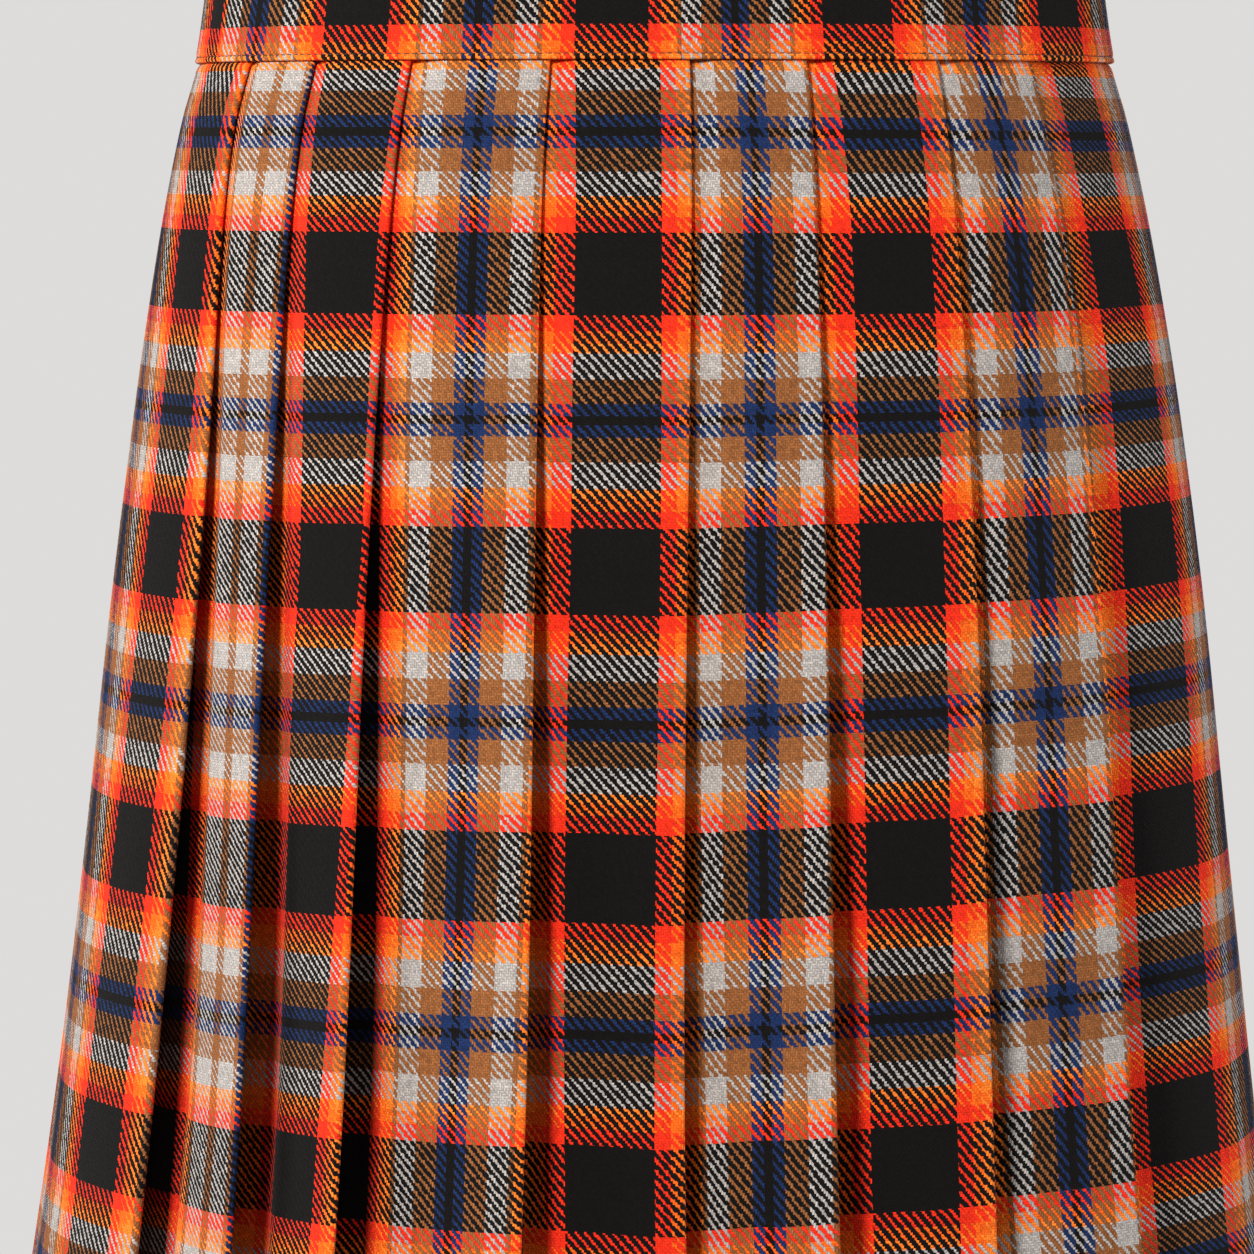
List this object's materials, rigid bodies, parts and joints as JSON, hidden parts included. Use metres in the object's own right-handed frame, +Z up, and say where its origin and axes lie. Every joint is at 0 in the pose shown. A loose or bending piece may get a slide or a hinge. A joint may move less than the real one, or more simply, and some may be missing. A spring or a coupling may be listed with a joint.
{
  "type": "pleated hiking kilt",
  "caption": "Wrap-round tartan kilt, hollow as worn, with knife pleats across the back, crossed flat aprons at the front and a buttoned waistband.",
  "frame": {"origin": "middle of the waistband's ring, half way up the band, where the wearer's waist holds it", "axes": "+Z up out of the waist, -Y towards the pleated back, +Y towards the aprons at the front, +X towards the wearer's right"},
  "size_m": [0.4772, 0.341, 0.61],
  "materials": {
    "tartan_cloth": "matt worsted twill tartan: black, scarlet, orange, pale grey, tan and navy stripes",
    "horn_button": "dark polished horn"
  },
  "bodies": {
    "root": {"waistband": "tartan_cloth", "over_apron": "tartan_cloth", "left_side": "tartan_cloth", "pleated_back": "tartan_cloth", "right_side": "tartan_cloth", "under_apron": "tartan_cloth", "button_1": "horn_button", "button_2": "horn_button"}
  },
  "joints": []
}
